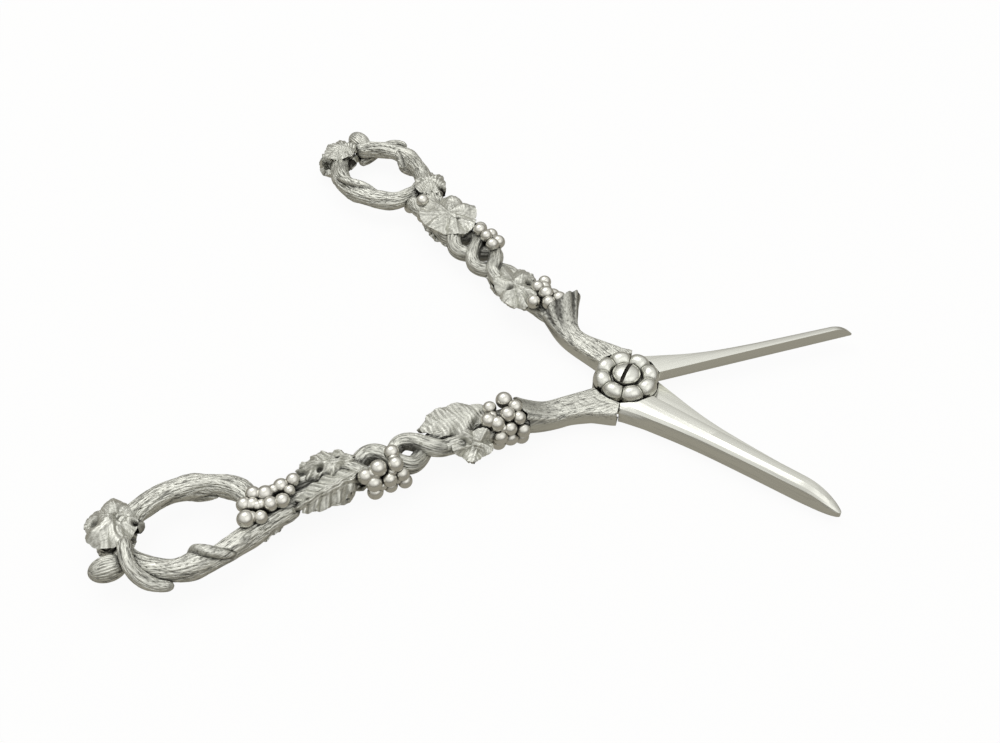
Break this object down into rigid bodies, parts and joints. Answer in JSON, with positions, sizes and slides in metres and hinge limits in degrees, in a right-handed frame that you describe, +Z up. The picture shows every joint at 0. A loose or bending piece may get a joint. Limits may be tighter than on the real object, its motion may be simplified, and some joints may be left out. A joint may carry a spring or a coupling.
{
  "type": "grape shears",
  "caption": "Silver grape shears with vine-branch handles bent into finger loops, grapes and leaves, and a narrow blade that shuts into the rebate of a wide one.",
  "frame": {"origin": "on the pivot axis, at the flat underside of the lap joint", "axes": "+X from the pivot towards the blades, along the middle between the open handles; +Z up through the screw head; +Y towards the handle that carries the wide blade"},
  "size_m": [0.1459, 0.1562, 0.0107],
  "materials": {
    "polished_silver": "satin-polished silver with fine lines along the blades",
    "bark_silver": "cast silver chased with bark lines, darkened in the recesses",
    "grape_silver": "smooth satin silver",
    "leaf_silver": "cast silver chased with leaf veins, darkened in the recesses"
  },
  "bodies": {
    "lower_arm": {"lower_blade": "polished_silver", "lower_trunk": "bark_silver", "lower_first_stem": "bark_silver", "lower_second_stem": "bark_silver", "lower_outer_branch": "bark_silver", "lower_inner_branch": "bark_silver", "lower_collar_grapes": "grape_silver", "lower_middle_grapes": "grape_silver", "lower_neck_grapes": "grape_silver", "lower_neck_grape": "grape_silver", "lower_nut": "bark_silver", "lower_tendril": "bark_silver", "lower_end_leaf": "leaf_silver", "lower_shell_leaf": "leaf_silver", "lower_neck_leaf": "leaf_silver", "lower_rib_leaf": "leaf_silver", "lower_edge_leaf": "leaf_silver", "lower_vine_leaf": "leaf_silver", "lower_shoot_leaf": "leaf_silver", "lower_scallop_leaf": "leaf_silver", "lower_curl_leaf": "leaf_silver", "rosette": "polished_silver", "pivot_screw": "polished_silver"},
    "upper_arm": {"upper_blade": "polished_silver", "upper_trunk": "bark_silver", "upper_first_stem": "bark_silver", "upper_second_stem": "bark_silver", "upper_outer_branch": "bark_silver", "upper_inner_branch": "bark_silver", "upper_collar_grapes": "grape_silver", "upper_middle_grapes": "grape_silver", "upper_neck_grapes": "grape_silver", "upper_neck_grape": "grape_silver", "upper_nut": "bark_silver", "upper_tendril": "bark_silver", "upper_end_leaf": "leaf_silver", "upper_shell_leaf": "leaf_silver", "upper_neck_leaf": "leaf_silver", "upper_rib_leaf": "leaf_silver", "upper_edge_leaf": "leaf_silver", "upper_vine_leaf": "leaf_silver", "upper_shoot_leaf": "leaf_silver", "upper_scallop_leaf": "leaf_silver", "upper_curl_leaf": "leaf_silver"}
  },
  "joints": [
    {"name": "pivot", "type": "hinge", "parent": "lower_arm", "child": "upper_arm", "pos_m": [0, 0, 0], "axis": [0, 0, 1], "range_deg": [-56, 1]}
  ]
}
